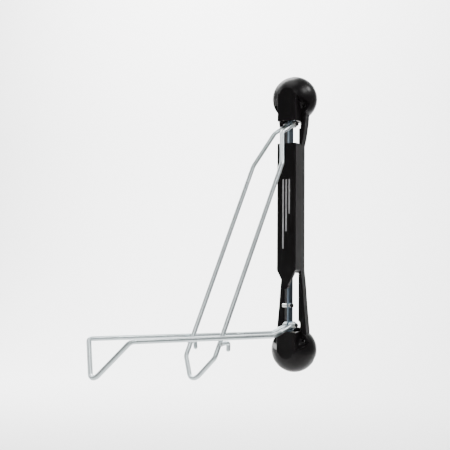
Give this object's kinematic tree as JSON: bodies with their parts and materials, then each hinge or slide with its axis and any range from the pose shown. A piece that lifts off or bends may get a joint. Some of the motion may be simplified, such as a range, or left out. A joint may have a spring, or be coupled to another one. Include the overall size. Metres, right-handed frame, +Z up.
{
  "type": "bicycle wall rack",
  "caption": "Wall rack that holds a bicycle upright by one wheel: a black moulded housing with round ends, a swinging steel bar and two bent wire arms that fold.",
  "frame": {"origin": "centre of the wall screw pattern, on the wall plane", "axes": "+Z up, +Y into the wall, +X to the right when facing the wall"},
  "size_m": [0.254, 0.5289, 0.6196],
  "materials": {
    "black_plastic": "satin moulded black",
    "cap_plastic": "soft black",
    "wire_steel": "bright zinc plate",
    "bar_steel": "blue-grey zinc plate",
    "screw_steel": "zinc plate",
    "nylon": "natural, uncoloured"
  },
  "bodies": {
    "casing": {"main_housing": "black_plastic", "top_wall_plate": "black_plastic", "bottom_wall_plate": "black_plastic", "plate_screws": "screw_steel", "rear_cover": "black_plastic", "cover_screws": "screw_steel", "top_bush": "nylon", "bottom_bush": "nylon"},
    "swing_frame": {"top_thrust_washer": "nylon", "bottom_thrust_washer": "nylon", "top_pivot_pin": "bar_steel", "bottom_pivot_pin": "bar_steel", "swing_bar": "bar_steel", "upper_pivot_bolt": "screw_steel", "upper_pivot_nut": "screw_steel", "upper_pivot_washers": "screw_steel", "upper_bolt_cap": "cap_plastic", "lower_pivot_bolt": "screw_steel", "lower_pivot_nut": "screw_steel", "lower_pivot_washers": "screw_steel", "lower_bolt_cap": "cap_plastic", "stop_bolt": "screw_steel", "stop_spacer": "screw_steel", "stop_nut": "screw_steel", "stop_cap": "cap_plastic"},
    "upper_arm": {"upper_arm_wire": "wire_steel", "right_hook": "wire_steel", "left_hook": "wire_steel", "upper_eye_bushes": "nylon"},
    "lower_arm": {"lower_arm_wire": "wire_steel", "lower_eye_bushes": "nylon"}
  },
  "joints": [
    {"name": "swing", "type": "hinge", "parent": "casing", "child": "swing_frame", "pos_m": [0, -0.051, 0], "axis": [0, 0, 1], "range_deg": [-36.5, 73.5]},
    {"name": "lower_fold", "type": "hinge", "parent": "swing_frame", "child": "lower_arm", "pos_m": [0, -0.051, -0.2117], "axis": [-0.9483, 0.3173, 0], "range_deg": [0, 72]},
    {"name": "upper_fold", "type": "hinge", "parent": "swing_frame", "child": "upper_arm", "pos_m": [0, -0.051, 0.205], "axis": [0.9483, -0.3173, 0], "range_deg": [0, 17.5]}
  ],
  "couplings": [
    {"joint": "upper_fold", "follows": "lower_fold", "ratio": 0.2375}
  ]
}
